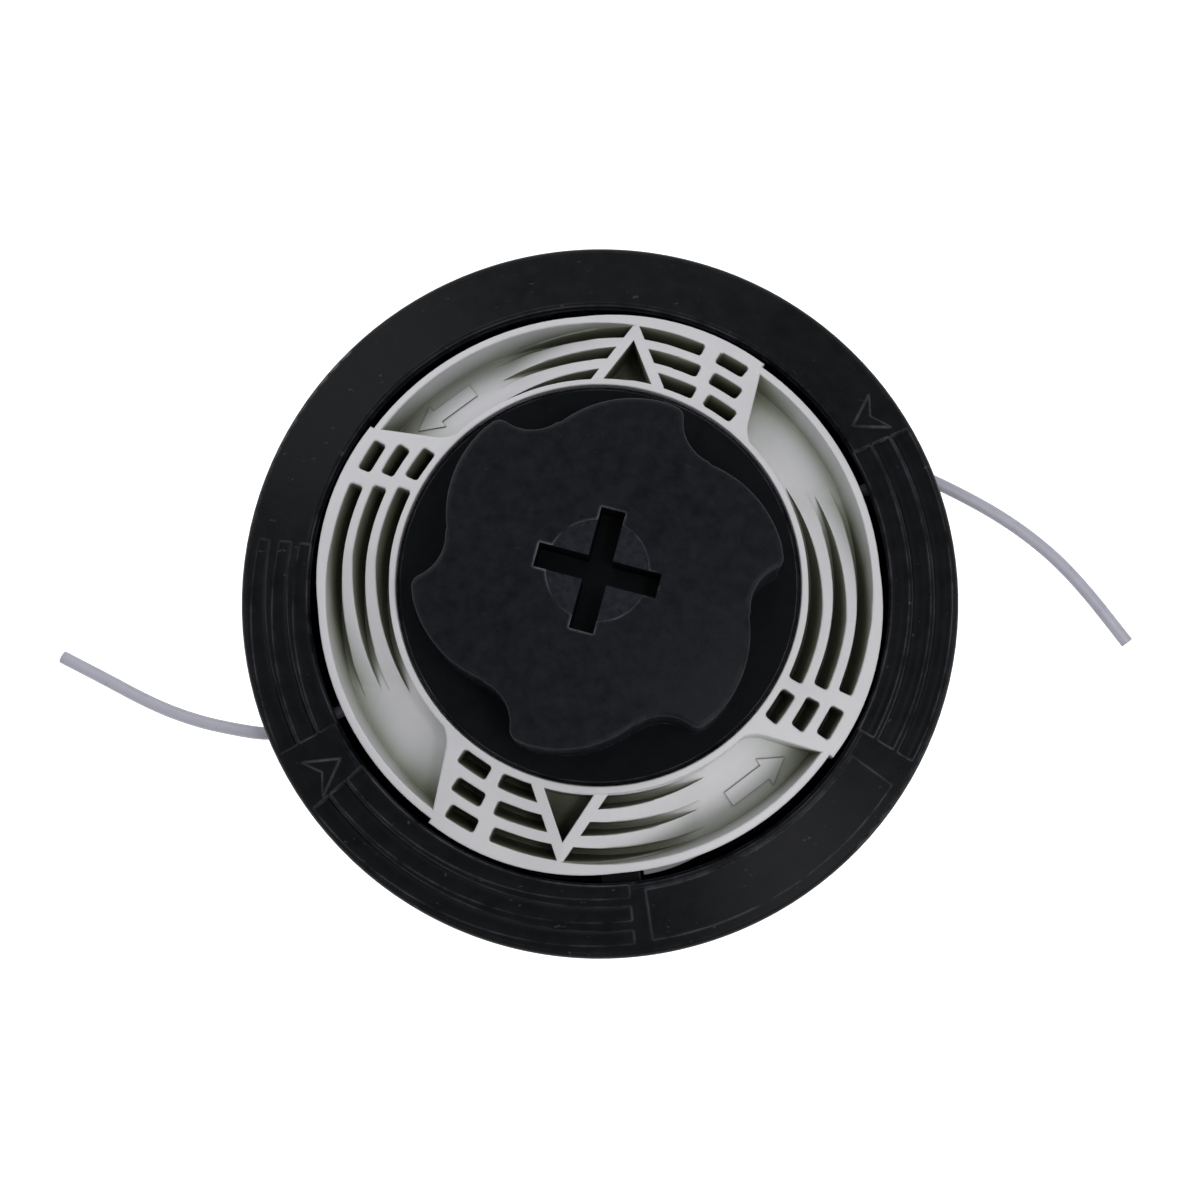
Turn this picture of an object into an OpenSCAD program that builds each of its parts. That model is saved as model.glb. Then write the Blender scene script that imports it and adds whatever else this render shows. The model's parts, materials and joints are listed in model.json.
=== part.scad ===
// Bump-feed line head for a garden string trimmer, knob side up, resting on its
// shaft side. Millimetres, +Z along the spindle, origin at the foot of the hub.

/* [Drive thread] */
// Radius of the tapped bore that screws onto the gearbox shaft
thread_r = 4.32; // [3.5:0.02:4.9]
// Width across flats of the moulded-in drive nut
nut_af = 19; // [17:0.5:20]
// Height of the drive nut
nut_h = 8; // [6:0.5:10]
// Depth of the drive nut below the hub face
nut_recess = 0.8; // [0.4:0.1:2]

/* [Spindle] */
// Radius of the spindle bolt
bolt_r = 5; // [4:0.25:5.5]
// Width across flats of the bolt head
head_af = 14; // [12:0.5:14]
// Height of the bolt head
head_h = 4; // [3:0.5:6]
// Thickness of the washer under the bolt head
head_washer_t = 1.2; // [0.8:0.1:2]
// Radial play of the bolt in its bush
bolt_fit = 0.05; // [0.02:0.01:0.1]
// Wall of the brass bush in the post
bush_wall = 1.45; // [1:0.05:2]

/* [Tap travel] */
// How far the knob is pushed in when the head is bumped
tap_travel = 5; // [3:0.5:6]
// Room left beyond the travel at every stop
stop_gap = 0.8; // [0.5:0.1:1.5]
// Wire radius of the tap spring
spring_wire_r = 0.9; // [0.6:0.1:1.1]
// Room between the spool hub's bore and the middle of the spring wire
spring_room = 2.3; // [1.6:0.1:2.6]
// Turns of the tap spring
spring_turns = 7; // [5:1:8]
// Thickness of the washer between spring and spool
spring_washer_t = 1.5; // [1:0.1:2.5]

/* [Housing] */
// Radius of the widest edge of the rim
rim_r = 65; // [63:0.5:70]
// Wall thickness of the housing
wall_t = 2.8; // [2:0.1:3.5]
// Outer radius of the housing's side wall
side_r = 57; // [56.5:0.1:58]
// Height of the inner floor above the hub face
floor_z = 6.5; // [5.5:0.1:8]
// Radius of the hub's foot
hub_r = 19; // [16:0.5:24]
// Room between the middle of the spring wire and the post
post_room = 2.5; // [1.6:0.1:2.8]
// Radius of the upper post that the spool turns on
neck_r = 9; // [8.6:0.1:9.2]
// Thickness of the ledge that stops the bolt head
ledge_t = 3; // [2:0.5:5]
// Drop of the rim from its inner lip to its widest edge
rim_drop = 6.5; // [5:0.25:8]
// Radius of the rounded outer lip
lip_round = 1.6; // [1:0.1:2]
// Number of ribs across the back
back_ribs = 12; // [6:2:18]
// Thickness of a back rib
rib_t = 2; // [1.5:0.1:3]
// Depth of the grip channels round the rim
channel_d = 0.9; // [0.4:0.1:1]
// Height of the raised plate and marks on the rim
mark_h = 0.35; // [0.2:0.05:0.6]

/* [Line exits] */
// Direction of the first line exit, degrees
exit_deg = 23; // [20:1:26]
// Height of the line exits above the winding floor
exit_rise = 4.4; // [4.3:0.1:4.6]
// Bore radius of an eyelet
eyelet_r = 1.7; // [1.5:0.1:1.9]
// Wall of an eyelet
eyelet_wall = 1.1; // [0.8:0.1:1.5]
// Radius of the cutting line
line_r = 1.2; // [1:0.05:1.3]

/* [Spool] */
// Outer radius of the spool hub
drum_r = 20.3; // [20:0.1:22]
// Wall of the spool hub
drum_wall = 2.5; // [1.8:0.1:2.8]
// Step from the skirt in to the line flanges
flange_step = 1.7; // [1.5:0.1:3]
// Thickness of the shaft-side flange
flange_t = 1.5; // [1:0.1:2]
// Height of each line chamber
chamber_h = 4.9; // [4.8:0.1:6]
// Thickness of the divider between the chambers
divider_t = 1.2; // [0.8:0.1:1.6]
// Room between the wound line and the flanges' edges
wound_room = 5.3; // [3:0.1:9]
// Thickness of the web that the knob clamps
web_t = 3; // [2:0.5:4]

/* [Winding ring] */
// Step from the teeth in to the ring's outer edge
ring_step = 0.95; // [0.8:0.05:1.2]
// Width of the ring
ring_w = 14.74; // [14:0.02:15.5]
// Height of the ring's outer edge above the winding face
ring_edge_h = 9.3; // [9:0.1:10]
// Rise of the ring from its outer to its inner edge
ring_rise = 7.9; // [6:0.1:9]
// Width of the top of the ring's inner wall
inner_wall_w = 1.24; // [1:0.02:1.6]
// Width of the top of the ring's outer wall
outer_wall_w = 1.5; // [1.2:0.1:1.8]
// Depth of the finger pockets
pocket_d = 7; // [5:0.25:7.5]
// Radial width of an arc rib's top
arc_rib_w = 1.5; // [1.2:0.1:2]
// Lean of the pockets' and core holes' outer walls, mm per mm of depth
core_draft = 0.2; // [0.1:0.01:0.22]
// Depth of the core holes
core_d = 9; // [7.5:0.1:9.2]
// Rounding of the core holes' corners
core_round = 0.7; // [0.4:0.05:1]
// Direction of the first push face, degrees
push_deg = 54; // [45:1:60]

/* [Ratchet] */
// Room between the ratchet teeth and the side wall
tooth_room = 3.15; // [2.5:0.05:4]
// Depth of the ratchet teeth
tooth_depth = 2.05; // [1.5:0.05:2.3]
// Height of a housing lug
lug_h = 2.2; // [1.8:0.1:2.4]
// Width of a housing lug, degrees
lug_deg = 8; // [5:1:12]

/* [Knob] */
// Number of lobes
lobes = 6; // [5:1:7]
// Room between the lobes and the ring
lobe_room = 3.91; // [3:0.01:6]
// Step from the lobes in to the radius of their sloping backs
lobe_back_step = 11.35; // [10.5:0.05:12]
// Offset of the lobes' sloping backs from the axis
lobe_offset = 11.6; // [11:0.1:12]
// Step from the lobes in to the ground between them
lobe_depth = 4.85; // [4:0.05:5.5]
// Radius of the scallops
scallop_r = 7.5; // [7:0.1:8]
// How much deeper the scallops are than the ground between the lobes
scallop_d = 0.3; // [0.2:0.05:0.6]
// Rounding of the lobes' noses
nose_r = 2; // [1.2:0.1:2.2]
// Height of the crown at the middle over its edge
crown_rise = 1.6; // [1:0.1:3]
// Length of a slot arm pair, end to end
slot_l = 21.2; // [16:0.2:24]
// Width of the slots
slot_w = 4.2; // [4.2:0.05:5]
// Depth of the slots
slot_d = 7.2; // [5:0.1:8]
// Turn of the slots, degrees
slot_deg = -15; // [-45:1:45]
// Radius of the shallow disc round the slots
disc_r = 8.6; // [8:0.1:10]
// Depth of the shallow disc
disc_d = 0.25; // [0.2:0.05:0.5]
// Wall thickness of the knob
knob_wall = 2.6; // [2:0.1:3.2]
// Width across flats of the knob's nut
insert_af = 16; // [14:0.5:16]
// Height of the knob's nut
insert_h = 5.5; // [5:0.5:7]

/* [Hidden] */
$fn = 96;

// Clearances
touch = 0.02;
play = 0.3;
press = 0.05;
cut = 1;

// Radii that follow the side wall, from the ratchet in to the knob
inner_r = side_r - wall_t;
tooth_r = inner_r - tooth_room;
skirt_r = tooth_r - tooth_depth;
flange_r = skirt_r - flange_step;
wound_r = flange_r - wound_room;
ring_r = tooth_r - ring_step;
ring_in_r = ring_r - ring_w;
lobe_r = ring_in_r - lobe_room;
lobe_back_r = lobe_r - lobe_back_step;
lobe_ground_r = lobe_r - lobe_depth;
spring_r = drum_r - drum_wall - spring_room;
post_r = spring_r - post_room;

// Heights up the spindle, from the hub's foot to the crown
nut_top = nut_recess + nut_h;
head_z = nut_top + stop_gap + 0.7 + tap_travel;
head_top = head_z + head_h;
ledge_z = head_top + head_washer_t + press;
neck_z = ledge_z + ledge_t;
spring_top = neck_z + tap_travel + stop_gap;
web_z = spring_top + spring_washer_t + touch;
web_top = web_z + web_t;
post_top = web_top + 2;
insert_z = post_top + tap_travel + stop_gap;
insert_top = insert_z + insert_h;
slot_z = insert_top + 1.8;
crown_z = slot_z + slot_d;

// Heights of the spool
spool_z = floor_z + tap_travel + stop_gap;
chamber_z = spool_z + flange_t;
divider_z = chamber_z + chamber_h;
upper_z = divider_z + divider_t;
face_z = upper_z + chamber_h;
edge_z = face_z + ring_edge_h;
ring_slope = ring_rise / (ring_r - ring_in_r);
row_gap = lug_h - 0.8;
lug_z = face_z + 0.2;
row_a_top = lug_z + lug_h + 0.5;
row_b_z = row_a_top + row_gap;
plate_z = lug_z + lug_h + tap_travel + play;
lug_r = skirt_r + 0.4;
teeth = 4;
pitch = 360 / teeth;

// Heights of the housing
back_z = floor_z - 2.5;
exit_z = chamber_z + exit_rise;
lip_r = tooth_r + 0.75;
lip_z = edge_z - 1.3;
rim_z = lip_z - rim_drop;
crest_r = lip_r + 1.2;
foot_r = rim_r - lip_round;
rim_slope = (rim_drop - lip_round * 0.93) / (foot_r + lip_round * 0.4 - crest_r);
bush_r = bolt_r + bolt_fit + bush_wall;
neck_flat = neck_r - 1;
// Directions of the arrow marks and of the raised plate, and half the plate's length
mark_deg = 33.2;
plate_deg = 302.6;
plate_half = 23.9;

// Height of the ring's conical face at radius r, and of the rim's
function ring_z(r) = edge_z + (ring_r - r) * ring_slope;
function rim_top(r) = lip_z - (r - crest_r) * rim_slope;

// Radii of the three rows of core holes in the ring
wall_in = ring_in_r + inner_wall_w;
wall_out = ring_r - outer_wall_w;
core_w = (wall_out - wall_in - 2 * arc_rib_w) / 3;
core_inset = 0.15;
function core_in(i) = wall_in + i * (core_w + arc_rib_w);
// Directions of a block's core holes, from its push face: inner, middle, outer
hole_from = [-2.7, 0, 2];
hole_to = [6.2, 7.9, 9];
groove_from = [9.5, 11.2, 12.5];
ramp_top_deg = 28;
ramp_foot_deg = 62;
ramp_arm = (wall_in + wall_out) / 2 * sin(ramp_foot_deg - ramp_top_deg);
ramp_tilt = atan(pocket_d / ramp_arm);
// The grooves between the ribs come up to the pocket's floor at the ramp's foot
groove_d = pocket_d - 0.1;
groove_tilt = atan((core_d - groove_d) / ramp_arm);
// The push face leans, and runs into the inner wall in a fillet
push_lean = 21.8;
push_fillet = 6;

// Drawing helpers
module at(deg, r = 0, z = 0) { rotate([0, 0, deg]) translate([r, 0, z]) children(); }
module tube(r_out, r_in, z0, z1) {
    translate([0, 0, z0]) difference() {
        cylinder(r = r_out, h = z1 - z0);
        translate([0, 0, -cut]) cylinder(r = r_in, h = z1 - z0 + 2 * cut);
    }
}
module hex_bar(af, z0, z1) { translate([0, 0, z0]) cylinder(d = af / cos(30), h = z1 - z0, $fn = 6); }
module revolve(points, from = 0, to = 360) {
    rotate([0, 0, from]) rotate_extrude(angle = to - from) polygon(points);
}

// Housing: one black moulding with a hub, a post, a side wall and a wide rim
module rim_section() {
    difference() {
        union() {
            polygon([[0, 0], [hub_r, 0], [hub_r + 1, back_z], [side_r - 5, back_z], [side_r, back_z + 5],
                [side_r, rim_top(side_r) - wall_t], [foot_r - 1, rim_top(foot_r) - wall_t],
                [foot_r, rim_z - lip_round], [foot_r, rim_z], [foot_r + lip_round * 0.4,
                rim_z + lip_round * 0.93], [crest_r, lip_z], [0, lip_z]]);
            translate([foot_r, rim_z]) circle(r = lip_round);
        }
        polygon([[-cut, floor_z], [inner_r - 3, floor_z], [inner_r, floor_z + 3], [inner_r, lip_z - 5],
            [lip_r, lip_z - 2.4], [lip_r, lip_z - 0.6], [lip_r + 0.6, lip_z], [lip_r + 0.6, lip_z + cut],
            [-cut, lip_z + cut]]);
    }
}
module channel(r, w, from, to, deep_deg, tilt) {
    groove_r = (w * w / 4 + channel_d * channel_d) / (2 * channel_d);
    rotate([0, 0, deep_deg]) rotate([tilt, 0, 0]) rotate([0, 0, from - deep_deg])
        rotate_extrude(angle = to - from)
            translate([r, rim_top(r) + groove_r - channel_d]) circle(r = groove_r);
}
module channels(from, to, deep_deg, tilt) {
    step = (foot_r + lip_round - lip_r - 0.8) / 3;
    for (i = [0:2])
        channel(lip_r + 0.6 + step * (i + 0.5), step - 0.3, from, to, deep_deg, tilt);
}
module rim_mark(deg, half) {
    intersection() {
        revolve([[crest_r, rim_top(crest_r) - 1], [foot_r, rim_top(foot_r) - 1],
            [foot_r, rim_top(foot_r) + mark_h],
            [crest_r, rim_top(crest_r) + mark_h]], deg - half, deg + half);
        children();
    }
}
module arrow_mark(deg) {
    rim_mark(deg, 6) at(deg) linear_extrude(lip_z + cut)
        polygon([[lip_r + 2.8, 0], [foot_r - 2.2, 3.7], [foot_r - 4.6, 0], [foot_r - 2.2, -3.7]]);
}
module name_plate() {
    rim_mark(plate_deg, plate_half) tube(foot_r - 1, crest_r + 0.4, 0, lip_z + cut);
}
module back_rib() {
    translate([0, rib_t / 2, 0]) rotate([90, 0, 0]) linear_extrude(rib_t)
        polygon([[hub_r - 1, 0.6], [side_r - 12, 0.6], [side_r - 4, back_z], [side_r - 5, floor_z - 1],
            [hub_r - 1, floor_z - 1]]);
}
module rim_gusset() {
    translate([0, rib_t / 2, 0]) rotate([90, 0, 0]) linear_extrude(rib_t)
        polygon([[side_r - 1, rim_z - 7], [side_r + 0.5, rim_z - 7], [foot_r - 1.5, rim_z - 0.8],
            [foot_r - 1.5, rim_top(foot_r) - 1], [side_r - 1, rim_top(side_r) - 1]]);
}
module post() {
    translate([0, 0, back_z]) cylinder(r = post_r, h = neck_z - back_z);
    intersection() {
        translate([0, 0, neck_z - cut]) cylinder(r = neck_r, h = post_top - neck_z + cut);
        translate([-neck_r, -neck_flat, 0]) cube([2 * neck_r, 2 * neck_flat, post_top + cut]);
    }
}
module lug(deg) {
    intersection() {
        tube(inner_r + 1, lug_r, lug_z, lug_z + lug_h);
        at(deg) translate([0, -lug_r * sin(lug_deg / 2), 0])
            cube([inner_r + 1, 2 * lug_r * sin(lug_deg / 2), lug_z + lug_h + cut]);
    }
}
module housing() color([0.09, 0.095, 0.11]) difference() {
    union() {
        rotate_extrude() rim_section();
        post();
        for (i = [0:back_ribs - 1]) at(i * 360 / back_ribs + 8) back_rib();
        for (i = [0:back_ribs - 1]) at(i * 360 / back_ribs + 8) rim_gusset();
        for (s = [0, 180]) lug(push_deg + s + pitch / 2 - lug_deg / 2 - 0.6);
        for (s = [0, 180]) at(exit_deg + s, inner_r, exit_z) rotate([0, 90, 0])
            cylinder(r = eyelet_r + eyelet_wall + 2.4, h = wall_t + 1.2);
        for (s = [0, 180]) arrow_mark(mark_deg + s);
        name_plate();
    }
    hex_bar(nut_af + 2 * press, -cut, nut_top);
    translate([0, 0, nut_top - cut]) cylinder(r = head_af / sqrt(3) + play, h = ledge_z - nut_top + cut);
    cylinder(r = bolt_r + play, h = post_top);
    translate([0, 0, neck_z]) cylinder(r = bush_r + touch, h = post_top);
    for (s = [0, 180]) at(exit_deg + s, inner_r - cut, exit_z) rotate([0, 90, 0])
        cylinder(r = eyelet_r + eyelet_wall + touch, h = wall_t + 4);
    channels(-28.5, 28.3, 28.3, -0.45);
    channels(217.5, 276, 217.5, 1.0);
    channels(170, 206, 206, -1.6);
}

// Drive nut: left-hand thread, pressed into the hub's hexagonal pocket
module drive_nut() color([0.62, 0.6, 0.55]) difference() {
    hex_bar(nut_af, nut_recess, nut_top - touch);
    translate([0, 0, -cut]) cylinder(r = thread_r, h = nut_top + 2 * cut);
    for (z = [nut_recess, nut_top - touch])
        translate([0, 0, z]) rotate_extrude() polygon([[0, -0.8], [thread_r, -0.8], [thread_r + 0.8, 0],
            [thread_r, 0.8], [0, 0.8]]);
}

// Brass bush that lines the upper post
module spindle_bush() color([0.72, 0.58, 0.3])
    tube(bush_r, bolt_r + bolt_fit, neck_z + touch, post_top);

// Steel eyelets that line the two exits, with a rounded collar outside
module eyelet() color([0.75, 0.75, 0.73]) rotate([0, 90, 0]) difference() {
    union() {
        cylinder(r = eyelet_r + eyelet_wall, h = wall_t + 2.4);
        translate([0, 0, wall_t + 1.2 + touch]) rotate_extrude() {
            square([eyelet_r + eyelet_wall + 0.5, 1.2]);
            translate([eyelet_r + eyelet_wall + 0.5, 0.6]) circle(r = 0.6);
        }
    }
    translate([0, 0, -cut]) cylinder(r = eyelet_r, h = wall_t + 5);
    translate([0, 0, wall_t + 2.4 + touch]) rotate_extrude() polygon([[0, -0.7], [eyelet_r, -0.7],
        [eyelet_r + 0.7, 0], [eyelet_r + 0.7, 1], [0, 1]]);
}
module eyelet_right() at(exit_deg, inner_r, exit_z) eyelet();
module eyelet_left() at(exit_deg + 180, inner_r, exit_z) eyelet();

// Sweeps a round bar of radius r along points, with one ring of sides per point
function unit(v) = v / norm(v);
function heading(p, i) = unit(p[min(i + 1, len(p) - 1)] - p[max(i - 1, 0)]);
function side_of(d) = unit(cross(abs(d[2]) > 0.9 ? [1, 0, 0] : [0, 0, 1], d));
function ring_at(p, i, r, n) = let(d = heading(p, i), a = side_of(d), b = cross(d, a))
    [for (k = [0:n - 1]) p[i] + r * (cos(k * 360 / n) * a + sin(k * 360 / n) * b)];
module sweep(p, r, n) {
    m = len(p);
    polyhedron(points = [for (i = [0:m - 1]) each ring_at(p, i, r, n)],
        faces = concat([[for (k = [0:n - 1]) k]],
            [for (i = [0:m - 2]) for (k = [0:n - 1])
                [i * n + k, (i + 1) * n + k, (i + 1) * n + (k + 1) % n, i * n + (k + 1) % n]],
            [[for (k = [n - 1:-1:0]) (m - 1) * n + k]]));
}

// Tap spring: a helix whose end turns close up against floor and washer
function spring_rise(t) = let(w = 2 * spring_wire_r + touch, n = spring_turns,
    free = spring_top - floor_z - 2 * spring_wire_r - 2 * press - 2 * w)
    t < 1 ? w * t : t > n - 1 ? w + free + w * (t - n + 1) : w + free * (t - 1) / (n - 2);
module tap_spring() color([0.6, 0.61, 0.62]) {
    steps = 18;
    sweep([for (i = [0:spring_turns * steps]) let(a = i * 360 / steps)
        [spring_r * cos(a), spring_r * sin(a), floor_z + press + spring_wire_r
            + spring_rise(i / steps)]], spring_wire_r, 8);
}

// Spring washer: slides on the flats of the post and can't turn
module spring_washer() color([0.7, 0.7, 0.68]) difference() {
    translate([0, 0, spring_top]) cylinder(r = drum_r - drum_wall - 0.6, h = spring_washer_t);
    intersection() {
        translate([0, 0, spring_top - cut]) cylinder(r = neck_r + 0.25, h = spring_washer_t + 2 * cut);
        translate([-2 * neck_r, -neck_flat - 0.25, 0])
            cube([4 * neck_r, 2 * neck_flat + 0.5, web_z + cut]);
    }
}

// Spool: line flanges, hub, two rows of ratchet teeth and the cored winding ring
module tooth_plan(base_r, from) {
    // Each tooth is the part of a circle set off from the axis that lies beyond the base
    offset_r = 6.6;
    circle(r = base_r);
    for (i = [0:teeth - 1]) rotate(from + i * pitch) intersection() {
        rotate(11) translate([offset_r, 0]) circle(r = tooth_r - offset_r);
        square(rim_r);
    }
}
module row_plan(from) {
    // A ratchet row's teeth are shorter, so that they pass the lugs at rest and tapped in
    offset_r = tooth_r * 0.43;
    circle(r = skirt_r);
    for (i = [0:teeth - 1]) rotate(from + i * pitch) intersection() {
        translate([offset_r, 0]) circle(r = tooth_r - 0.2 - offset_r);
        square(rim_r);
    }
}
module block_edge() {
    // Plan of a finger pocket's end, with the push face on the X axis side
    hub = wall_in + push_fillet - 0.3;
    reach = push_fillet + (ring_r) * sin(push_lean);
    turn = 90 - push_lean - acos(reach / hub);
    c = [hub * cos(turn), -hub * sin(turn)];
    difference() {
        polygon([[ring_r, 0], c + push_fillet * [-sin(push_lean), cos(push_lean)],
            c, wall_in * [cos(turn), -sin(turn)], [wall_in - 3, -5], [wall_in - 3, 10], [ring_r, 10]]);
        translate(c) circle(r = push_fillet);
    }
}
module pocket(i) {
    // One finger pocket, from the foot of a ramp to the next push face
    push = push_deg + (i + 1) * pitch;
    difference() {
        revolve([[wall_in, ring_z(wall_in) - pocket_d],
            [wall_out - core_draft * pocket_d, ring_z(wall_out - core_draft * pocket_d) - pocket_d],
            [wall_out, ring_z(wall_out)], [wall_out, crown_z], [wall_in, crown_z]],
            push - pitch + ramp_top_deg, push);
        below_ring(push - pitch + ramp_top_deg, 0, -ramp_tilt);
        rotate([0, 0, push]) linear_extrude(crown_z + cut) block_edge();
    }
}
module below_ring(deg, depth, tilt) {
    // All that lies deeper than depth under the ring's face, tilted about the radius at deg
    pivot_z = ring_z((wall_in + wall_out) / 2) - depth;
    rotate([0, 0, deg]) translate([0, 0, pivot_z]) rotate([tilt, 0, 0]) translate([0, 0, -pivot_z])
        revolve([[0, 0], [ring_r + 9, 0], [ring_r + 9, ring_z(ring_r + 9) - depth],
            [drum_r, ring_z(drum_r) - depth], [0, ring_z(drum_r) - depth]]);
}
module core_corner(r, deg, lean, u, v) {
    // What a rounded corner takes off a core hole, whose walls lie on the sides u and v
    flat = 0.8 * core_round + 0.72;
    mid = 0.235 * core_round;
    at(deg, r, ring_z(r)) rotate([0, lean, 0]) translate([0, 0, -2 * core_d]) linear_extrude(3 * core_d)
        polygon([[-0.3 * u, -0.3 * v], [flat * u, -0.3 * v], [mid * u, mid * v], [-0.3 * u, flat * v]]);
}
module core(i, from, to, round_end = true) {
    // One arc core hole of row i, leaning on its outer wall and clear of the pocket's walls
    r0 = core_in(i) + core_inset;
    r1 = core_in(i) + core_w - core_inset;
    foot = r1 - core_draft * core_d;
    difference() {
        revolve([[r0, ring_z(r0) - core_d], [foot, ring_z(foot) - core_d], [r1, ring_z(r1)],
            [r1, crown_z], [r0, crown_z]], from, to);
        core_corner(r0, from, 0, 1, 1);
        core_corner(r1, from, atan(core_draft), -1, 1);
        if (round_end) core_corner(r0, to, 0, 1, -1);
        if (round_end) core_corner(r1, to, atan(core_draft), -1, -1);
    }
}
module delta(grow) {
    // Plan of the triangular hole beside the ramp, apex outwards
    apex = ring_in_r + 9.9 + grow * 2.26;
    base = wall_in - 0.3 - grow;
    half = (apex - base) * 0.494;
    polygon([[apex, 0], [base, half], [base, -half]]);
}
module cores(i) {
    from = push_deg + i * pitch;
    for (k = [0:2]) core(k, from + hole_from[k], from + hole_to[k]);
    difference() {
        for (k = [0:2]) core(k, from + groove_from[k], from + ramp_foot_deg + 4, false);
        below_ring(from + ramp_foot_deg, groove_d, groove_tilt);
        if (i % 2 == 0) rotate([0, 0, from + ramp_top_deg]) translate([0, 0, -cut])
            linear_extrude(crown_z + 2 * cut) delta(1.9);
    }
    if (i % 2 == 0) intersection() {
        rotate([0, 0, from + ramp_top_deg]) linear_extrude(crown_z) delta(0);
        revolve([[wall_in + core_inset, ring_z(wall_in) - core_d], [wall_out, ring_z(wall_out) - core_d],
            [wall_out, crown_z], [wall_in + core_inset, crown_z]]);
    }
}
module floor_arrow(deg) {
    // Raised arrow on the floor of a finger pocket, pointing the winding way
    mid = (wall_in + wall_out) / 2 + 0.8;
    intersection() {
        revolve([[wall_in, face_z + 1], [wall_out, face_z + 1],
            [wall_out, ring_z(wall_out) - pocket_d + 0.3], [wall_in, ring_z(wall_in) - pocket_d + 0.3]]);
        at(deg) linear_extrude(crown_z) polygon([[mid - 1.4, -4], [mid + 1.4, -4], [mid + 1.4, 4],
            [mid + 2.7, 4], [mid, 8.4], [mid - 2.7, 4], [mid - 1.4, 4]]);
    }
}
module ring_body() {
    difference() {
        union() {
            translate([0, 0, plate_z]) linear_extrude(crown_z - plate_z)
                tooth_plan(ring_r, push_deg);
            translate([0, 0, row_b_z]) linear_extrude(plate_z + 1 - row_b_z)
                row_plan(push_deg);
            translate([0, 0, face_z]) linear_extrude(row_a_top - face_z)
                row_plan(push_deg - pitch / 2);
            tube(skirt_r, ring_in_r - 2, face_z, crown_z);
        }
        revolve([[0, ring_z(0)], [ring_r + 9, ring_z(ring_r + 9)], [ring_r + 9, crown_z + cut],
            [0, crown_z + cut]]);
        translate([0, 0, face_z + 1.8]) cylinder(r = ring_in_r - 1.8, h = crown_z);
        translate([0, 0, face_z - cut]) cylinder(r = drum_r - 1, h = crown_z);
        translate([0, 0, knob_foot_z - play]) cylinder(r = ring_in_r, h = crown_z);
        for (i = [0:teeth - 1]) pocket(i);
        for (i = [0:teeth - 1]) cores(i);
    }
}
module spool() color([0.74, 0.755, 0.72]) {
    $fn = 72;
    difference() {
        union() {
            ring_body();
            tube(drum_r, drum_r - drum_wall, spool_z, web_top);
            tube(flange_r, drum_r - 1, spool_z, chamber_z);
            tube(flange_r, drum_r - 1, divider_z, upper_z);
            tube(drum_r - 1, neck_r + play, web_z, web_top);
            for (i = [0:7]) at(i * 45 + 10) translate([drum_r - 1, -0.9, face_z + 1])
                cube([ring_in_r - drum_r, 1.8, web_top - face_z - 1.5]);
            for (i = [0, 2]) floor_arrow(push_deg + i * pitch + 73);
        }
        for (s = [0, 180]) at(s) translate([knob_hub_r - 3.4, -knob_key_w / 2 - 0.2, web_top - 1.6])
            cube([3.4 + 0.3, knob_key_w + 0.4, 2]);
        for (s = [0, 180]) at(exit_deg + s + 70) translate([flange_r, 0, spool_z - cut])
            cylinder(r = 2 * line_r, h = upper_z - spool_z + cut);
    }
}

// Wound line: two windings, each with the lead that runs to its exit
module winding(z0, lead_z, deg) {
    turn_z = (chamber_h - 2 * touch) / 2;
    lead_r = wound_r - line_r;
    reach = flange_r - 0.2;
    span = acos(lead_r / reach);
    rotate_extrude() {
        translate([drum_r + touch, z0 + touch]) square([wound_r - turn_z / 2 - drum_r - touch,
            chamber_h - 2 * touch]);
        for (k = [0, 1]) translate([wound_r - turn_z / 2, z0 + touch + turn_z * (k + 0.5)])
            circle(r = turn_z / 2);
    }
    at(deg + span) translate([lead_r, 0, lead_z]) rotate([90, 0, 0])
        cylinder(r = line_r, h = lead_r * tan(span));
}
lower_lead_z = divider_z - line_r - 2 * touch;
upper_lead_z = upper_z + line_r + 2 * touch;
module line_winding_lower() color([0.72, 0.72, 0.76])
    winding(chamber_z, lower_lead_z, exit_deg);
module line_winding_upper() color([0.72, 0.72, 0.76])
    winding(upper_z, upper_lead_z, exit_deg + 180);

// Knob: a crowned cap with saw-tooth lobes that stands in a shallow dish
knob_r = ring_in_r - play;
knob_hub_r = drum_r - 6.3;
knob_foot_z = ring_z(ring_in_r) - 4;
dish_z = ring_z(ring_in_r) - 0.8;
knob_key_w = 4;
crown_edge_z = crown_z - crown_rise;
lobe_step = 360 / lobes;
function polar(r, deg) = r * [cos(deg), sin(deg)];
// Middle of a scallop, and of the nose that runs on from it, seen from the lobe's own direction
scallop_mid = polar(lobe_ground_r - scallop_d + scallop_r, -5.9);
nose_deg = -5.9 + acos((pow(lobe_r - nose_r, 2) + pow(norm(scallop_mid), 2) - pow(scallop_r + nose_r, 2))
    / (2 * (lobe_r - nose_r) * norm(scallop_mid)));
nose_mid = polar(lobe_r - nose_r, nose_deg);
module lobe_plan(shrink) {
    difference() {
        intersection() {
            circle(r = lobe_r - shrink);
            union() {
                circle(r = lobe_ground_r - shrink);
                for (i = [0:lobes - 1]) rotate(i * lobe_step - 5) intersection() {
                    rotate(3.5) translate([lobe_offset, 0]) circle(r = lobe_back_r - shrink);
                    polygon([[0, 0], [rim_r, -3], polar(rim_r, lobe_step / 2), polar(rim_r, lobe_step)]);
                }
            }
        }
        for (i = [0:lobes - 1]) rotate(i * lobe_step - 5) translate(scallop_mid) circle(r = scallop_r + shrink);
    }
}
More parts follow.
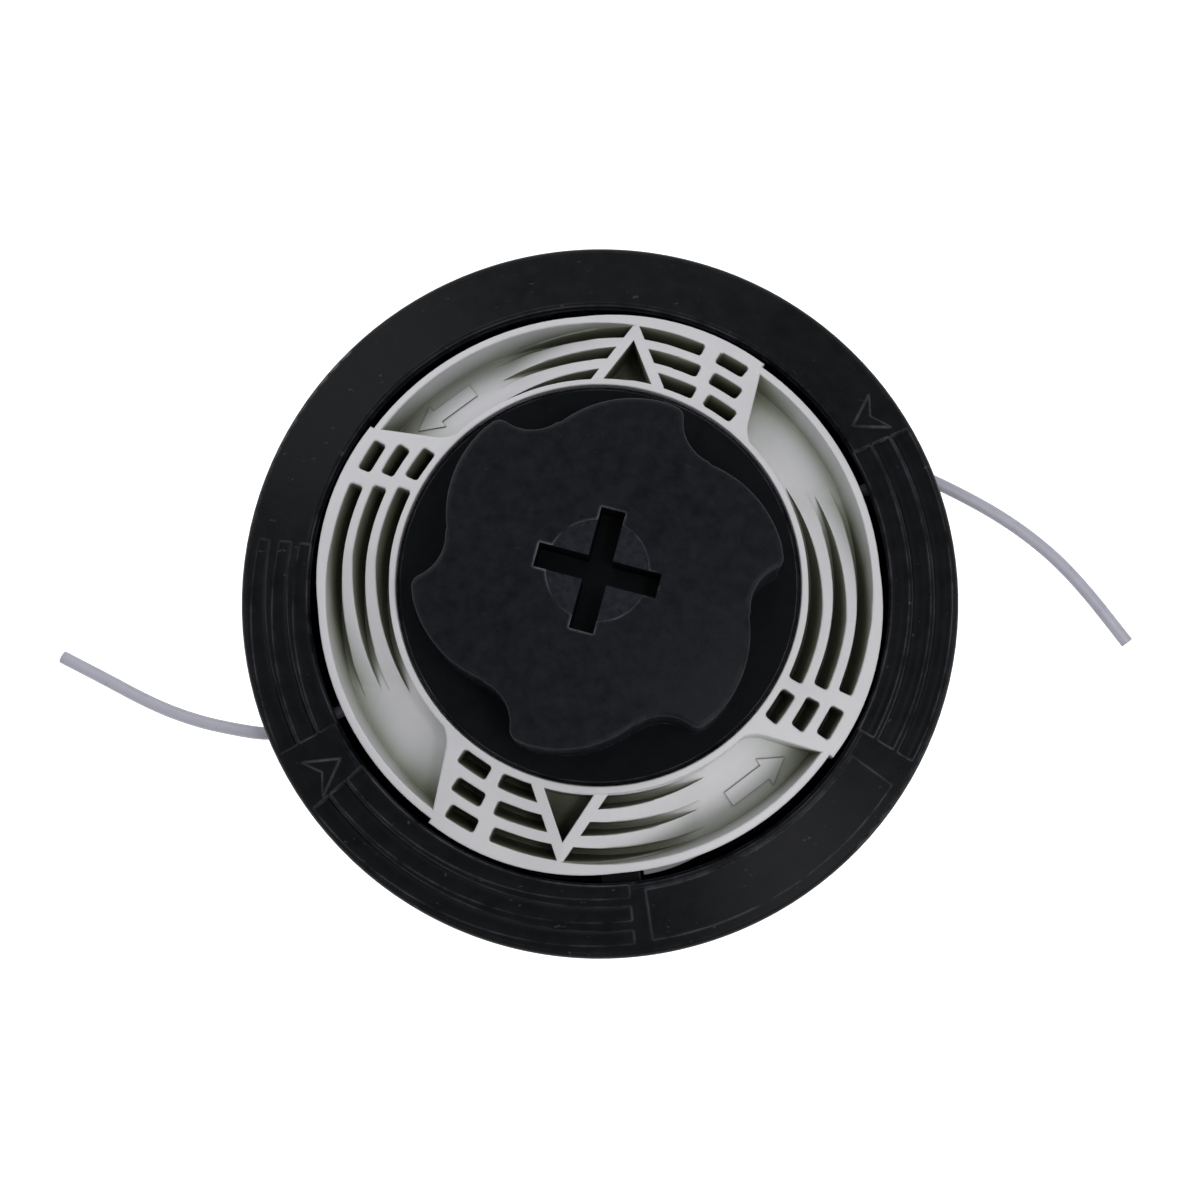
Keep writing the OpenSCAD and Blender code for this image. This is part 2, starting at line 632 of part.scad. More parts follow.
module nose_cut() {
    // What is rounded off a lobe's nose, between the lobe's arc and the scallop's
    steps = 5;
    to_scallop = scallop_mid - nose_mid;
    turn = atan2(to_scallop[1], to_scallop[0]) - nose_deg;
    arc = [for (k = [0:steps]) nose_mid + polar(nose_r, nose_deg + turn * k / steps)];
    polygon(concat([2 * arc[0] - arc[1]], arc, [2 * arc[steps] - arc[steps - 1],
        nose_mid + polar(3 * nose_r, nose_deg + turn / 2)]));
}
module crown(drop) {
    // The crowned top, in three slopes that steepen outwards
    revolve([[0, knob_foot_z - 2], [lobe_r + 1, knob_foot_z - 2], [lobe_r + 1, crown_edge_z - drop - 0.1],
        [22, crown_z - crown_rise * 0.42 - drop], [12, crown_z - crown_rise * 0.08 - drop],
        [0, crown_z - drop]]);
}
module knob() color([0.1, 0.105, 0.12]) difference() {
    union() {
        intersection() {
            translate([0, 0, knob_foot_z]) linear_extrude(crown_z) difference() {
                lobe_plan(0);
                for (i = [0:lobes - 1]) rotate(i * lobe_step - 5) nose_cut();
            }
            crown(0);
        }
        revolve([[0, knob_foot_z], [knob_r, knob_foot_z], [knob_r, dish_z - 0.5],
            [knob_r - 0.5, dish_z], [0, dish_z]]);
        translate([0, 0, web_top + touch]) cylinder(r = knob_hub_r, h = slot_z - web_top);
        for (s = [0, 180]) at(s) translate([knob_hub_r - 3.4, -knob_key_w / 2, web_top - 1.4])
            cube([3.2, knob_key_w, 5]);
    }
    // Hollow between hub and shell
    difference() {
        intersection() {
            translate([0, 0, knob_foot_z - cut]) linear_extrude(crown_z) lobe_plan(knob_wall);
            crown(knob_wall);
            translate([0, 0, 0]) cylinder(r = ring_in_r, h = crown_z);
        }
        cylinder(r = knob_hub_r, h = crown_z);
        for (i = [0:lobes - 1]) at(i * 360 / lobes + 25) translate([knob_hub_r - 1, -1, 0])
            cube([lobe_r, 2, crown_z]);
    }
    translate([0, 0, web_top - 2]) cylinder(r = neck_r + 0.5, h = insert_z - web_top + 2);
    hex_bar(insert_af + 2 * press, insert_z - cut, insert_top);
    for (a = [0, 90]) rotate([0, 0, slot_deg + a])
        translate([-slot_l / 2, -slot_w / 2, slot_z]) cube([slot_l, slot_w, slot_d + cut]);
    translate([0, 0, crown_z - disc_d]) cylinder(r = disc_r, h = cut);
}

// Steel nut pressed into the knob
module knob_nut() color([0.66, 0.65, 0.6]) difference() {
    hex_bar(insert_af, insert_z, insert_top - touch);
    translate([0, 0, insert_z - cut]) cylinder(r = bolt_r + touch, h = insert_h + 2 * cut);
}

// Spindle bolt: its head is held under the post's ledge, the knob screws onto its end
module spindle_bolt() color([0.64, 0.64, 0.62]) {
    hex_bar(head_af, head_z, head_top);
    translate([0, 0, head_top - 0.5]) cylinder(r = bolt_r, h = insert_top - 1 - head_top);
    translate([0, 0, insert_top - 1.5]) cylinder(r1 = bolt_r, r2 = bolt_r - 0.8, h = 1);
}
module head_washer() color([0.7, 0.7, 0.68])
    tube(head_af / sqrt(3) - 0.2, bolt_r + 0.2, head_top + touch, ledge_z - press);

// Free ends of the line, hand-laid from the lead through the eyelet to the cut tip
tail_right = [[44.9, 19.1, 0], [46.4, 19.7, 0], [48.8, 20.7, 0], [51.2, 21.7, 0], [53.5, 22.6, 0],
    [55.5, 23.3, 0], [57.6, 23.7, 0], [59.8, 23.5, 0], [62, 22.7, 0], [65, 21.2, 0], [69, 19.1, 0],
    [74, 16.2, 0], [79, 12.7, 0], [84, 8.5, -0.1], [88, 4.2, -0.1], [92, -0.7, -0.2],
    [95, -4.8, -0.3], [97.2, -7.7, -0.4]];
tail_left = [[-44.9, -19.1, 0], [-46.4, -19.7, 0], [-48.8, -20.7, 0], [-51.2, -21.7, 0],
    [-53.4, -22.7, 0], [-55.6, -23.5, 0], [-57.8, -24.1, 0], [-60, -24.4, 0], [-63, -24.3, 0],
    [-67, -23.6, 0], [-72, -22.6, 0], [-77, -21.1, 0], [-82, -19.1, -0.1], [-87, -16.6, -0.1],
    [-92, -13.9, -0.2], [-96, -11.9, -0.3], [-99.5, -10.1, -0.4]];
module line_tail(points) {
    color([0.74, 0.74, 0.79]) translate([0, 0, exit_z]) sweep(points, line_r, 8);
}
module line_tail_right() line_tail(tail_right);
module line_tail_left() line_tail(tail_left);

housing();
drive_nut();
spindle_bush();
eyelet_right();
eyelet_left();
tap_spring();
spring_washer();
spool();
line_winding_lower();
line_winding_upper();
knob();
knob_nut();
spindle_bolt();
head_washer();
line_tail_right();
line_tail_left();
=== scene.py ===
# %% [markdown]
# A bump-feed trimmer head, seen from its ground side: a wide black rim, a pale winding ring that belongs
# to the line spool inside, and a black knob with six lobes that is tapped on the ground to feed line.
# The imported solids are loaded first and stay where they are. They give every size that follows.

# %% Load the frame
import json
import math

import bmesh
import bpy
from mathutils import Matrix, Vector, noise

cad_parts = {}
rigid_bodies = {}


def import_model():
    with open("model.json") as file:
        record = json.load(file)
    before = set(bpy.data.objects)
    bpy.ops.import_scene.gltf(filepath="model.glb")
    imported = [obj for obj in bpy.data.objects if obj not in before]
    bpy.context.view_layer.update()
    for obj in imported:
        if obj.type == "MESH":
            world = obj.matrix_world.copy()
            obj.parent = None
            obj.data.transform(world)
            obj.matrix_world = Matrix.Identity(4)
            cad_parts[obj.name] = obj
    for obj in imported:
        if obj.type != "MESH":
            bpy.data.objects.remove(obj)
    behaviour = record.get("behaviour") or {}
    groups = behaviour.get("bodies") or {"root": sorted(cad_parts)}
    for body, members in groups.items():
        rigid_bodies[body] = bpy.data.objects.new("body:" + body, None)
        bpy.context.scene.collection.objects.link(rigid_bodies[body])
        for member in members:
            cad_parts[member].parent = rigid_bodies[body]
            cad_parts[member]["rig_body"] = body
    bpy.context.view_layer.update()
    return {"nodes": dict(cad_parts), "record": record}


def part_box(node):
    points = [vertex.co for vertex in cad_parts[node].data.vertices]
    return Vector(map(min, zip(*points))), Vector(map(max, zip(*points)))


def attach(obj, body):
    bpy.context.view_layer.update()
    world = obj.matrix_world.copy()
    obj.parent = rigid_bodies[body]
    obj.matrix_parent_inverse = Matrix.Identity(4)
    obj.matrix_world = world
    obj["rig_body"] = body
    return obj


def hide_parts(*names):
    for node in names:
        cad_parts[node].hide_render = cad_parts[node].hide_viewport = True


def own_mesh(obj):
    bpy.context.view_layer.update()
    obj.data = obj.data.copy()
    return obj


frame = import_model()
scene = bpy.context.scene
nodes = frame["nodes"]
MM = 0.001

# %% [markdown]
# The photograph looks down on the head from almost straight above, a little from the lower side. The
# place of the camera was worked out from the ellipses of the rim, the ring and the knob, so it is given
# as a place and a point to look at, with the picture's up direction along +Y.

# %% Camera
eye = Vector((4.41, -54.62, 402.14)) * MM
target = Vector((0.108, -0.763, 26)) * MM
camera_data = bpy.data.cameras.new("camera")
camera_data.sensor_width = 36
camera_data.lens = 62.81
camera_data.clip_start, camera_data.clip_end = 0.01, 20
camera = bpy.data.objects.new("camera", camera_data)
scene.collection.objects.link(camera)
look = (target - eye).normalized()
right = look.cross(Vector((0, 1, 0))).normalized()
up = right.cross(look)
camera.matrix_world = Matrix((
    (right.x, up.x, -look.x, eye.x),
    (right.y, up.y, -look.y, eye.y),
    (right.z, up.z, -look.z, eye.z),
    (0, 0, 0, 1)))
scene.camera = camera
print("camera height", round(eye.z, 3), "m, lens", camera_data.lens)

# %% [markdown]
# The studio is plain: a pale floor, a pale world, and three soft lamps. The floor and the world are
# white to the camera and to reflections, but the light they give the object is lower, so that the black
# plastic keeps its depth and the pale ring doesn't clip.

# %% Floor and world
def pale_backdrop_nodes(tree, light_strength):
    """White to the camera and to mirrors, and a lower light for everything else."""
    path = tree.nodes.new("ShaderNodeLightPath")
    seen = tree.nodes.new("ShaderNodeMath")
    seen.operation = "MAXIMUM"
    tree.links.new(path.outputs["Is Camera Ray"], seen.inputs[0])
    through = tree.nodes.new("ShaderNodeMath")
    through.operation = "MAXIMUM"
    tree.links.new(path.outputs["Is Glossy Ray"], through.inputs[0])
    tree.links.new(path.outputs["Is Transmission Ray"], through.inputs[1])
    tree.links.new(through.outputs[0], seen.inputs[1])
    level = tree.nodes.new("ShaderNodeMapRange")
    level.inputs["To Min"].default_value = light_strength
    level.inputs["To Max"].default_value = 1.0
    tree.links.new(seen.outputs[0], level.inputs["Value"])
    return level.outputs[0]


world = bpy.data.worlds.new("studio")
scene.world = world
world.use_nodes = True
background = world.node_tree.nodes["Background"]
background.inputs["Color"].default_value = (1, 1, 1, 1)
world.node_tree.links.new(pale_backdrop_nodes(world.node_tree, 0.38), background.inputs["Strength"])

bpy.ops.mesh.primitive_plane_add(size=6, location=(0, 0, 0))
floor = bpy.context.object
floor.name = "floor"
floor_paint = bpy.data.materials.new("floor_paint")
floor_paint.use_nodes = True
floor_tree = floor_paint.node_tree
floor_tree.nodes.clear()
matt = floor_tree.nodes.new("ShaderNodeBsdfDiffuse")
matt.inputs["Color"].default_value = (0.8, 0.8, 0.8, 1)
glow = floor_tree.nodes.new("ShaderNodeEmission")
both = floor_tree.nodes.new("ShaderNodeAddShader")
end = floor_tree.nodes.new("ShaderNodeOutputMaterial")
floor_tree.links.new(pale_backdrop_nodes(floor_tree, 0.0), glow.inputs["Strength"])
floor_tree.links.new(matt.outputs[0], both.inputs[0])
floor_tree.links.new(glow.outputs[0], both.inputs[1])
floor_tree.links.new(both.outputs[0], end.inputs["Surface"])
floor.data.materials.append(floor_paint)

# %% Lamps
def soft_lamp(name, place, size, power, tint=(1, 1, 1)):
    """A square lamp at a place in millimetres that faces the head."""
    data = bpy.data.lights.new(name, "AREA")
    data.shape = "SQUARE"
    data.size = size * MM
    data.energy = power
    data.color = tint
    lamp = bpy.data.objects.new(name, data)
    scene.collection.objects.link(lamp)
    lamp.location = Vector(place) * MM
    lamp.rotation_euler = (Vector((0, 0, 30 * MM)) - lamp.location).to_track_quat("-Z", "Y").to_euler()
    return lamp


soft_lamp("key_lower_right", (380, -420, 420), 330, 1.4, (1.0, 0.99, 0.98))
soft_lamp("top_near_camera", (190, -90, 620), 90, 0.6)
soft_lamp("fill_upper_left", (-400, 430, 420), 500, 1.6, (0.97, 0.985, 1.0))
soft_lamp("top_back", (60, 560, 520), 300, 0.5)

# %% [markdown]
# The cutting line comes next, because a loose cord has to lie inside the view. Each tail is the free end
# of the wound line: it leaves the winding, goes out through its eyelet, and keeps the curl it had on the
# spool. A bezier curve through the route's points gives a round, smooth line with a flat cut end.

# %% Line tails
EXIT_Z = 18.2
LINE_DIAMETER = 2.4
TAIL_RIGHT = [(44.9, 19.1, 0), (46.4, 19.7, 0), (48.8, 20.7, 0), (51.2, 21.7, 0), (53.5, 22.6, 0),
    (55.5, 23.3, 0), (57.6, 23.7, 0), (59.8, 23.5, 0), (62, 22.7, 0), (65, 21.2, 0), (69, 19.1, 0),
    (74, 16.2, 0), (79, 12.7, 0), (84, 8.5, -0.1), (88, 4.2, -0.1), (92, -0.7, -0.2),
    (95, -4.8, -0.3), (97.2, -7.7, -0.4)]
TAIL_LEFT = [(-44.9, -19.1, 0), (-46.4, -19.7, 0), (-48.8, -20.7, 0), (-51.2, -21.7, 0),
    (-53.4, -22.7, 0), (-55.6, -23.5, 0), (-57.8, -24.1, 0), (-60, -24.4, 0), (-63, -24.3, 0),
    (-67, -23.6, 0), (-72, -22.6, 0), (-77, -21.1, 0), (-82, -19.1, -0.1), (-87, -16.6, -0.1),
    (-92, -13.9, -0.2), (-96, -11.9, -0.3), (-99.5, -10.1, -0.4)]


def line_tail(name, node, route):
    """A tail of line along a measured route in millimetres."""
    points = [Vector((x, y, EXIT_Z + z)) * MM for x, y, z in route]
    curve = bpy.data.curves.new(name, "CURVE")
    curve.dimensions = "3D"
    curve.resolution_u = 6
    curve.bevel_depth = LINE_DIAMETER / 2 * MM
    curve.bevel_resolution = 6
    curve.use_fill_caps = True
    spline = curve.splines.new("NURBS")
    spline.points.add(len(points) - 1)
    for knot, point in zip(spline.points, points):
        knot.co = (*point, 1)
    spline.order_u = 4
    spline.use_endpoint_u = True
    tail = bpy.data.objects.new(name, curve)
    scene.collection.objects.link(tail)
    bpy.ops.object.select_all(action="DESELECT")
    tail.select_set(True)
    bpy.context.view_layer.objects.active = tail
    bpy.ops.object.convert(target="MESH")
    bpy.ops.object.mode_set(mode="EDIT")
    bpy.ops.mesh.select_all(action="SELECT")
    bpy.ops.mesh.remove_doubles(threshold=0.001 * MM)
    bpy.ops.mesh.normals_make_consistent(inside=False)
    bpy.ops.object.mode_set(mode="OBJECT")
    bpy.ops.object.shade_smooth_by_angle(angle=math.radians(40))
    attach(tail, "housing")
    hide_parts(node)
    return tail


tail_right = line_tail("cutting_line_right", "line_tail_right", TAIL_RIGHT)
tail_left = line_tail("cutting_line_left", "line_tail_left", TAIL_LEFT)

# %% [markdown]
# Two shared effects serve every plastic. Moulded plastic has a fine spark-eroded grain, and a used or
# handled part has pale rubbed spots and a little dust. Each is a node group that gives out only a
# mask or a height, and each material sets its own scale and strength.

# %% Moulded grain
def new_group(name, inputs, outputs):
    """An empty shader node group with named sockets, as lists of (name, type, start value)."""
    group = bpy.data.node_groups.new(name, "ShaderNodeTree")
    for label, kind, start in inputs:
        socket = group.interface.new_socket(label, in_out="INPUT", socket_type=kind)
        if start is not None:
            socket.default_value = start
    for label, kind in outputs:
        group.interface.new_socket(label, in_out="OUTPUT", socket_type=kind)
    entry = group.nodes.new("NodeGroupInput")
    leave = group.nodes.new("NodeGroupOutput")
    return group, entry, leave


def add_node(tree, kind, **settings):
    """A node with its properties set, and numbered or named sockets given as sockets={...}."""
    sockets = settings.pop("sockets", {})
    node = tree.nodes.new(kind)
    for key, value in settings.items():
        setattr(node, key, value)
    for key, value in sockets.items():
        if hasattr(value, "is_output"):
            tree.links.new(value, node.inputs[key])
        else:
            node.inputs[key].default_value = value
    return node


grain, grain_in, grain_out = new_group("moulded_grain",
    [("Scale", "NodeSocketFloat", 2600.0), ("Patch Scale", "NodeSocketFloat", 60.0)],
    [("Height", "NodeSocketFloat"), ("Patch", "NodeSocketFloat")])
place = add_node(grain, "ShaderNodeTexCoord").outputs["Object"]
sparks = add_node(grain, "ShaderNodeTexNoise", sockets={
    "Vector": place, "Scale": grain_in.outputs["Scale"], "Detail": 3.0, "Roughness": 0.6})
patches = add_node(grain, "ShaderNodeTexNoise", sockets={
    "Vector": place, "Scale": grain_in.outputs["Patch Scale"], "Detail": 5.0, "Roughness": 0.65})
grain.links.new(sparks.outputs["Fac"], grain_out.inputs["Height"])
grain.links.new(patches.outputs["Fac"], grain_out.inputs["Patch"])

# %% Rubbed spots and dust
rubs, rubs_in, rubs_out = new_group("rubs_and_dust",
    [("Scale", "NodeSocketFloat", 420.0), ("Least", "NodeSocketFloat", 0.655), ("Most", "NodeSocketFloat", 0.72)],
    [("Mask", "NodeSocketFloat")])
place = add_node(rubs, "ShaderNodeTexCoord").outputs["Object"]
stretch = add_node(rubs, "ShaderNodeMapping", sockets={"Vector": place, "Scale": (1.0, 1.7, 1.0)})
fleck = add_node(rubs, "ShaderNodeTexNoise", sockets={
    "Vector": stretch.outputs[0], "Scale": rubs_in.outputs["Scale"], "Detail": 4.0, "Roughness": 0.7})
limit = add_node(rubs, "ShaderNodeMapRange", sockets={
    "Value": fleck.outputs["Fac"], "From Min": rubs_in.outputs["Least"], "From Max": rubs_in.outputs["Most"]})
rubs.links.new(limit.outputs[0], rubs_out.inputs["Mask"])

# %% Soft edges, rubbed and with a painted highlight
soft_edges, soft_in, soft_out = new_group("soft_edges",
    [("Radius", "NodeSocketFloat", 0.0004)], [("Normal", "NodeSocketVector"), ("Rubbed And Highlight", "NodeSocketFloat")])
around = add_node(soft_edges, "ShaderNodeBevel", samples=6, sockets={"Radius": soft_in.outputs["Radius"]})
face = add_node(soft_edges, "ShaderNodeNewGeometry")
agree = add_node(soft_edges, "ShaderNodeVectorMath", operation="DOT_PRODUCT",
    sockets={0: around.outputs["Normal"], 1: face.outputs["Normal"]})
edge_band = add_node(soft_edges, "ShaderNodeMapRange", sockets={
    "Value": agree.outputs["Value"], "From Min": 0.995, "From Max": 0.9, "To Min": 0.0, "To Max": 1.0})
place = add_node(soft_edges, "ShaderNodeTexCoord").outputs["Object"]
uneven = add_node(soft_edges, "ShaderNodeTexNoise", sockets={
    "Vector": place, "Scale": 130.0, "Detail": 4.0, "Roughness": 0.6})
patchy = add_node(soft_edges, "ShaderNodeMapRange", sockets={
    "Value": uneven.outputs["Fac"], "From Min": 0.36, "From Max": 0.62})
# The patchy edge band is rubbing and also a painted highlight of the rounded edges.
rubbed_and_highlit = add_node(soft_edges, "ShaderNodeMath", operation="MULTIPLY",
    sockets={0: edge_band.outputs[0], 1: patchy.outputs[0]})
soft_edges.links.new(around.outputs["Normal"], soft_out.inputs["Normal"])
soft_edges.links.new(rubbed_and_highlit.outputs[0], soft_out.inputs["Rubbed And Highlight"])

# %% [markdown]
# The black parts are glass-filled nylon: nearly black with a cold cast, dull, with a fine grain that
# breaks the reflections up. A little dust lightens it in spots. A bevel node rounds the shading of the
# sharp moulded edges, as the real edges have a small radius that catches light. Along these edges the
# base colour is lightened in patches, which is rubbing and also a painted highlight.

# %% Black plastic
def plastic(name, dark, light, roughness, specular, grain_scale, grain_height, fleck_colour, fleck_amount,
        edge_radius, patch_scale=60.0, rubbed_and_highlight_colour=None, subsurface=0.0, hollow_shade=None, hollow_shade_reach=5.0):
    """A moulded plastic from two base tones, with grain, dust flecks, painted shade in hollows, softly shaded
    edges, and edges lightened by rubbing and a painted highlight.
    """
    material = bpy.data.materials.new(name)
    material.use_nodes = True
    tree = material.node_tree
    shader = tree.nodes["Principled BSDF"]
    shader.inputs["Specular IOR Level"].default_value = specular
    if subsurface:
        shader.inputs["Subsurface Weight"].default_value = subsurface
        shader.inputs["Subsurface Radius"].default_value = (1.0, 0.9, 0.7)
        shader.inputs["Subsurface Scale"].default_value = 0.5 * MM
    texture = add_node(tree, "ShaderNodeGroup", node_tree=grain, sockets={
        "Scale": grain_scale, "Patch Scale": patch_scale})
    mottle = add_node(tree, "ShaderNodeMapRange", sockets={
        "Value": texture.outputs["Patch"], "From Min": 0.32, "From Max": 0.68})
    flecks = add_node(tree, "ShaderNodeGroup", node_tree=rubs)
    tone = add_node(tree, "ShaderNodeMix", data_type="RGBA",
        sockets={0: mottle.outputs[0], 6: (*dark, 1), 7: (*light, 1)})
    share = add_node(tree, "ShaderNodeMath", operation="MULTIPLY",
        sockets={0: flecks.outputs["Mask"], 1: fleck_amount})
    dusty = add_node(tree, "ShaderNodeMix", data_type="RGBA",
        sockets={0: share.outputs[0], 6: tone.outputs[2], 7: (*fleck_colour, 1)})
    base = dusty.outputs[2]
    edges = add_node(tree, "ShaderNodeGroup", node_tree=soft_edges, sockets={"Radius": edge_radius * MM})
    # Painted highlight with rubbing: the edges' base colour is lightened in patches, for the light the rounded
    # edges catch as well as for wear.
    if rubbed_and_highlight_colour:
        worn_and_highlit = add_node(tree, "ShaderNodeMix", data_type="RGBA",
            sockets={0: edges.outputs["Rubbed And Highlight"], 6: base, 7: (*rubbed_and_highlight_colour, 1)})
        base = worn_and_highlit.outputs[2]
    # Painted shade: an ambient occlusion ramp darkens the base colour in holes and pockets, down to a dark olive.
    if hollow_shade:
        open_sky = add_node(tree, "ShaderNodeAmbientOcclusion", samples=8, only_local=True,
            sockets={"Distance": hollow_shade_reach * MM})
        depth = add_node(tree, "ShaderNodeValToRGB", sockets={0: open_sky.outputs["AO"]})
        ramp = depth.color_ramp.elements
        ramp[0].position, ramp[0].color = hollow_shade[0][0], (*hollow_shade[0][1], 1)
        ramp[1].position, ramp[1].color = hollow_shade[-1][0], (*hollow_shade[-1][1], 1)
        for stop, colour in hollow_shade[1:-1]:
            ramp.new(stop).color = (*colour, 1)
        shaded_hollows = add_node(tree, "ShaderNodeMix", data_type="RGBA", blend_type="MULTIPLY",
            sockets={0: 1.0, 6: base, 7: depth.outputs[0]})
        base = shaded_hollows.outputs[2]
    tree.links.new(base, shader.inputs["Base Color"])
    dull = add_node(tree, "ShaderNodeMapRange", sockets={
        "Value": texture.outputs["Patch"], "From Min": 0.3, "From Max": 0.7,
        "To Min": roughness - 0.05, "To Max": roughness + 0.07})
    tree.links.new(dull.outputs[0], shader.inputs["Roughness"])
    bump = add_node(tree, "ShaderNodeBump", sockets={
        "Strength": 0.35, "Distance": grain_height * MM,
        "Height": texture.outputs["Height"], "Normal": edges.outputs["Normal"]})
    tree.links.new(bump.outputs[0], shader.inputs["Normal"])
    return material


black_plastic = plastic("black_plastic", (0.001, 0.0013, 0.0022), (0.0042, 0.005, 0.0064), 0.34, 0.06,
    2400, 0.06, (0.09, 0.09, 0.095), 0.5, 0.6, patch_scale=260.0, rubbed_and_highlight_colour=(0.085, 0.088, 0.1))
knob_plastic = plastic("knob_plastic", (0.0022, 0.003, 0.0045), (0.0075, 0.009, 0.0115), 0.38, 0.065,
    2000, 0.07, (0.05, 0.052, 0.058), 0.15, 0.8, patch_scale=420.0, rubbed_and_highlight_colour=(0.14, 0.143, 0.155))
# The disc round the slots is rougher and finer in grain, its own surface; its lighter base colour is a painted
# sheen.
knob_disc_sheen_plastic = plastic("knob_disc_sheen_plastic", (0.0055, 0.0065, 0.0095), (0.016, 0.018, 0.024), 0.42, 0.065,
    1500, 0.08, (0.08, 0.082, 0.09), 0.25, 0.3, patch_scale=900.0)
# Painted shade: the knob's dish and slots get a darker base colour for the shade in these recesses; their duller
# finish is the unrubbed moulded surface.
knob_dish_shaded_plastic = plastic("knob_dish_shaded_plastic", (0.0013, 0.0018, 0.0027), (0.0036, 0.0044, 0.0057), 0.45, 0.042,
    2000, 0.06, (0.04, 0.042, 0.046), 0.1, 0.4, patch_scale=300.0)

# %% [markdown]
# The ring is unfilled nylon in a pale, slightly green grey. Light goes a little way into it, so its thin
# ribs look soft. Its deep holes and pockets get painted shade: the base colour darkens to a warm dark olive where
# little sky reaches.

# %% Pale plastic
pale_plastic = plastic("pale_plastic", (0.58, 0.574, 0.6), (0.63, 0.624, 0.652), 0.42, 0.4,
    1800, 0.02, (0.35, 0.35, 0.31), 0.1, 0.35, subsurface=0.15, hollow_shade_reach=9.0,
    hollow_shade=((0.05, (0.07, 0.078, 0.045)), (0.3, (0.4, 0.425, 0.31)), (0.55, (0.76, 0.79, 0.74)), (0.85, (1, 1, 1))))

# %% [markdown]
# The line is clear nylon with a faint lavender cast. It bends light as it passes, so it is a dielectric
# with some transmission, made milky by a part of plain colour.

# %% Nylon line
line_nylon = bpy.data.materials.new("line_nylon")
line_nylon.use_nodes = True
line_tree = line_nylon.node_tree
line_shader = line_tree.nodes["Principled BSDF"]
line_shader.inputs["IOR"].default_value = 1.53
line_shader.inputs["Transmission Weight"].default_value = 0.25
draw_lines = add_node(line_tree, "ShaderNodeTexNoise", sockets={
    "Vector": add_node(line_tree, "ShaderNodeTexCoord").outputs["Object"], "Scale": 420.0, "Detail": 3.0})
line_tone = add_node(line_tree, "ShaderNodeMix", data_type="RGBA",
    sockets={0: draw_lines.outputs["Fac"], 6: (0.4, 0.4, 0.475, 1), 7: (0.5, 0.5, 0.58, 1)})
line_tree.links.new(line_tone.outputs[2], line_shader.inputs["Base Color"])
line_dull = add_node(line_tree, "ShaderNodeMapRange", sockets={
    "Value": draw_lines.outputs["Fac"], "To Min": 0.22, "To Max": 0.38})
line_tree.links.new(line_dull.outputs[0], line_shader.inputs["Roughness"])

# %% [markdown]
# The metal parts are hidden or half hidden, but they show when the head is seen from the shaft side. The
# zinc plating is dull with a warm cast, the wire and eyelets are drawn or polished steel, and the bush is
# brass.

# %% Metals
def metal(name, dark, light, roughness, scale):
    """A metal with two tones and uneven polish."""
    material = bpy.data.materials.new(name)
    material.use_nodes = True
    tree = material.node_tree
    shader = tree.nodes["Principled BSDF"]
    shader.inputs["Metallic"].default_value = 1.0
    place = add_node(tree, "ShaderNodeTexCoord").outputs["Object"]
    cloud = add_node(tree, "ShaderNodeTexNoise", sockets={"Vector": place, "Scale": scale, "Detail": 6.0})
    tone = add_node(tree, "ShaderNodeMix", data_type="RGBA",
        sockets={0: cloud.outputs["Fac"], 6: (*dark, 1), 7: (*light, 1)})
    tree.links.new(tone.outputs[2], shader.inputs["Base Color"])
    polish = add_node(tree, "ShaderNodeMapRange", sockets={
        "Value": cloud.outputs["Fac"], "To Min": roughness - 0.1, "To Max": roughness + 0.1})
    tree.links.new(polish.outputs[0], shader.inputs["Roughness"])
    edges = add_node(tree, "ShaderNodeBevel", samples=4, sockets={"Radius": 0.2 * MM})
    tree.links.new(edges.outputs[0], shader.inputs["Normal"])
    return material


zinc_steel = metal("zinc_steel", (0.42, 0.4, 0.33), (0.6, 0.58, 0.5), 0.38, 500)
spring_steel = metal("spring_steel", (0.3, 0.3, 0.31), (0.45, 0.45, 0.46), 0.3, 700)
eyelet_steel = metal("eyelet_steel", (0.55, 0.55, 0.54), (0.68, 0.68, 0.67), 0.22, 600)
bush_brass = metal("bush_brass", (0.5, 0.35, 0.14), (0.66, 0.47, 0.2), 0.3, 500)
FINISHES = {"black_plastic": black_plastic, "knob_plastic": knob_plastic, "pale_plastic": pale_plastic,
    "line_nylon": line_nylon, "zinc_steel": zinc_steel, "spring_steel": spring_steel,
    "eyelet_steel": eyelet_steel, "bush_brass": bush_brass}

# %% Give every solid its finish
slot_of = {part["node"]: part["material_slot"] for part in frame["record"]["subparts"]}
for name, node in nodes.items():
    node.data.materials.clear()
    node.data.materials.append(FINISHES[slot_of[name]])
for tail in (tail_right, tail_left):
    tail.data.materials.append(line_nylon)

# %% [markdown]
# A mould leaves no knife edges: every edge that the photograph shows has a small radius, which catches the
# light as a thin line. The solids are sharp, so a copy of the winding ring and of the knob is softened and
# stands for its solid; the housing keeps its solid, with only its shading rounded. The copy's doubles are
# merged and its flat faces joined first, so that the bevel only finds real edges.

# %% A copy of a moulding that can be rounded
SLIVERS_UNDER = 0.03
FLAT_WITHIN = 2


